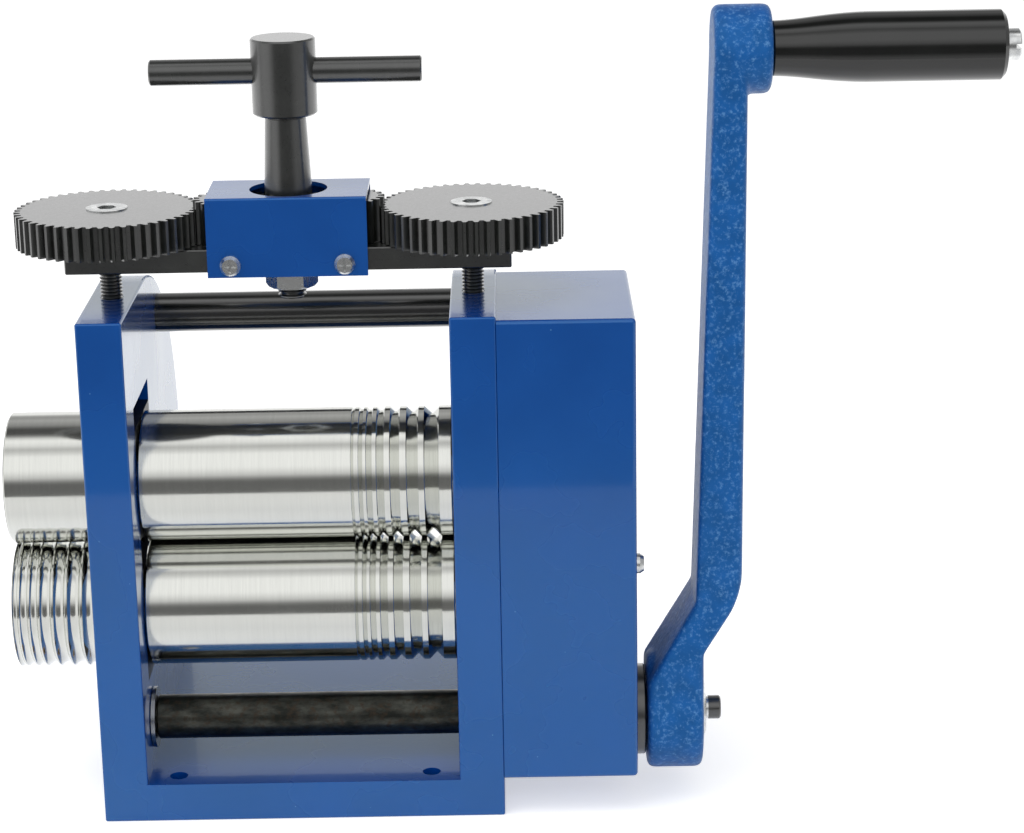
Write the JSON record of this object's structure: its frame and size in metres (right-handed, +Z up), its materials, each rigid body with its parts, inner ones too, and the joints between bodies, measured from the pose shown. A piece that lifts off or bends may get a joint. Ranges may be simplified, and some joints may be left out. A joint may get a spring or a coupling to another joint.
{
  "type": "jewellers rolling mill",
  "caption": "Hand cranked bench rolling mill for sheet and wire, with geared rollers, side rollers and a geared tee-handle screw-down.",
  "frame": {"origin": "centre of the four bench holes at the underside of the base plate", "axes": "+X along the rollers towards the crank, +Y from the front to the back of the base, +Z up"},
  "size_m": [0.354, 0.144, 0.2859],
  "materials": {
    "blue_enamel": "glossy",
    "blue_hammered": "hammered gloss",
    "ground_steel": "ground",
    "black_oxide": "black oxide, satin",
    "rod_steel": "dark, mottled",
    "bright_zinc": "bright zinc",
    "bearing_bronze": "machined",
    "block_iron": "dark, machined",
    "spring_steel": "drawn",
    "grip_plastic": "satin"
  },
  "bodies": {
    "frame": {"base_plate": "blue_enamel", "base_screws": "bright_zinc", "left_side_plate": "blue_enamel", "right_side_plate": "blue_enamel", "upper_tie_bar": "black_oxide", "tie_bar_screws": "bright_zinc", "lower_left_bearing": "block_iron", "lower_right_bearing": "block_iron", "left_lift_springs": "spring_steel", "right_lift_springs": "spring_steel", "gear_case": "blue_enamel", "gear_case_posts": "ground_steel", "gear_case_screws": "bright_zinc", "shaft_bush_left": "bearing_bronze", "shaft_bush_right": "bearing_bronze", "shaft_flange_bush": "black_oxide"},
    "crank": {"drive_shaft": "rod_steel", "shaft_thrust_washer": "ground_steel", "drive_pinion": "rod_steel", "drive_keys": "ground_steel", "pinion_circlips": "spring_steel", "crank_arm": "blue_hammered", "crank_washer": "bright_zinc", "crank_lock_washer": "bright_zinc", "crank_screw": "black_oxide", "grip_bolt": "bright_zinc"},
    "grip": {"handle_grip": "grip_plastic"},
    "lower_rolls": {"lower_roller": "ground_steel", "lower_side_roller": "ground_steel", "lower_side_screw": "black_oxide", "lower_roller_keys": "ground_steel", "lower_roller_gear": "rod_steel", "driven_gear": "rod_steel", "gear_spacer": "rod_steel", "lower_gear_circlip": "spring_steel"},
    "upper_rolls": {"upper_roller": "ground_steel", "upper_side_roller": "ground_steel", "upper_side_screw": "black_oxide", "upper_roller_keys": "ground_steel", "upper_roller_gear": "rod_steel", "upper_gear_circlip": "spring_steel"},
    "lift_carriage": {"upper_left_bearing": "block_iron", "upper_right_bearing": "block_iron", "crossbar": "black_oxide", "pinion_cover": "blue_enamel", "cover_screws": "bright_zinc", "idler_pins": "ground_steel", "idler_circlips": "spring_steel"},
    "tee_handle": {"tee_spindle": "black_oxide", "tee_bar": "black_oxide", "tee_nut": "bright_zinc"},
    "left_idler": {"left_idler_gear": "black_oxide"},
    "right_idler": {"right_idler_gear": "black_oxide"},
    "left_feed": {"left_feed_screw": "black_oxide", "left_screw_gear": "black_oxide", "left_gear_screw": "bright_zinc"},
    "right_feed": {"right_feed_screw": "black_oxide", "right_screw_gear": "black_oxide", "right_gear_screw": "bright_zinc"}
  },
  "joints": [
    {"name": "crank_spin", "type": "hinge", "parent": "frame", "child": "crank", "pos_m": [0, -0.0475, 0.03027], "axis": [1, 0, 0], "continuous": true},
    {"name": "grip_spin", "type": "hinge", "parent": "crank", "child": "grip", "pos_m": [0.2, -0.0475, 0.27067], "axis": [1, 0, 0], "continuous": true},
    {"name": "lower_roll_spin", "type": "hinge", "parent": "frame", "child": "lower_rolls", "pos_m": [0, -0.0345, 0.071], "axis": [1, 0, 0], "continuous": true},
    {"name": "upper_lift", "type": "slide", "parent": "frame", "child": "lift_carriage", "axis": [0, 0, 1], "range_m": [0, 0.004], "deforming": ["left_lift_springs", "right_lift_springs"]},
    {"name": "upper_roll_spin", "type": "hinge", "parent": "lift_carriage", "child": "upper_rolls", "pos_m": [0, -0.0345, 0.1183], "axis": [1, 0, 0], "continuous": true},
    {"name": "tee_spin", "type": "hinge", "parent": "lift_carriage", "child": "tee_handle", "pos_m": [0, -0.0345, 0.2], "axis": [0, 0, 1], "range_deg": [0, 4800]},
    {"name": "left_idler_spin", "type": "hinge", "parent": "lift_carriage", "child": "left_idler", "pos_m": [-0.02, -0.0345, 0.2], "axis": [0, 0, 1], "range_deg": [-2880, 0]},
    {"name": "right_idler_spin", "type": "hinge", "parent": "lift_carriage", "child": "right_idler", "pos_m": [0.02, -0.0345, 0.2], "axis": [0, 0, 1], "range_deg": [-2880, 0]},
    {"name": "left_feed_spin", "type": "hinge", "parent": "lift_carriage", "child": "left_feed", "pos_m": [-0.06375, -0.0345, 0.2], "axis": [0, 0, 1], "range_deg": [0, 1152]},
    {"name": "right_feed_spin", "type": "hinge", "parent": "lift_carriage", "child": "right_feed", "pos_m": [0.06375, -0.0345, 0.2], "axis": [0, 0, 1], "range_deg": [0, 1152]}
  ],
  "couplings": [
    {"joint": "lower_roll_spin", "follows": "crank_spin", "ratio": -0.39024},
    {"joint": "upper_roll_spin", "follows": "crank_spin", "ratio": 0.39024},
    {"joint": "left_idler_spin", "follows": "upper_lift", "rad_per_m": -12566},
    {"joint": "right_idler_spin", "follows": "upper_lift", "rad_per_m": -12566},
    {"joint": "left_feed_spin", "follows": "upper_lift", "rad_per_m": 5026.5},
    {"joint": "right_feed_spin", "follows": "upper_lift", "rad_per_m": 5026.5},
    {"joint": "tee_spin", "follows": "upper_lift", "rad_per_m": 20944}
  ]
}
